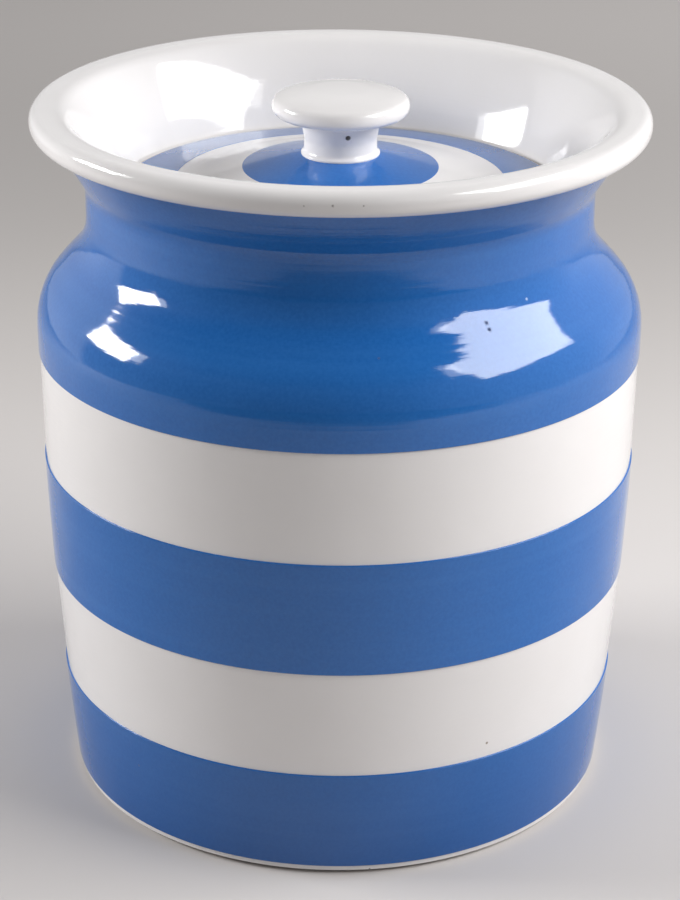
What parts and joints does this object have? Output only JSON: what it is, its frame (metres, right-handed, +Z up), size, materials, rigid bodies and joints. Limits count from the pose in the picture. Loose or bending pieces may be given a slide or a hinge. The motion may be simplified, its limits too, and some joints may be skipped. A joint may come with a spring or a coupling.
{
  "type": "biscuit jar",
  "caption": "Round glazed earthenware biscuit jar with broad blue and white bands, a wide flared mouth and a recessed lid with a mushroom knob.",
  "frame": {"origin": "middle of the circle that the jar stands on, at the height of the table", "axes": "+Z up along the jar's axis; the front, which the picture shows, faces -Y; +X is to the right"},
  "size_m": [0.171, 0.171, 0.2028],
  "materials": {
    "white_glaze": "clear glaze over warm white clay, glossy",
    "blue_slip": "blue slip under clear glaze, glossy"
  },
  "bodies": {
    "jar": {"jar_body": "white_glaze", "foot_slip_band": "blue_slip", "middle_slip_band": "blue_slip", "shoulder_slip_band": "blue_slip"},
    "lid": {"lid_disc": "white_glaze", "lid_outer_slip_ring": "blue_slip", "lid_centre_slip_ring": "blue_slip", "lid_knob": "white_glaze"}
  },
  "joints": [
    {"name": "lid_lift", "type": "slide", "parent": "jar", "child": "lid", "axis": [0, 0, 1], "range_m": [0, 0.06]}
  ]
}
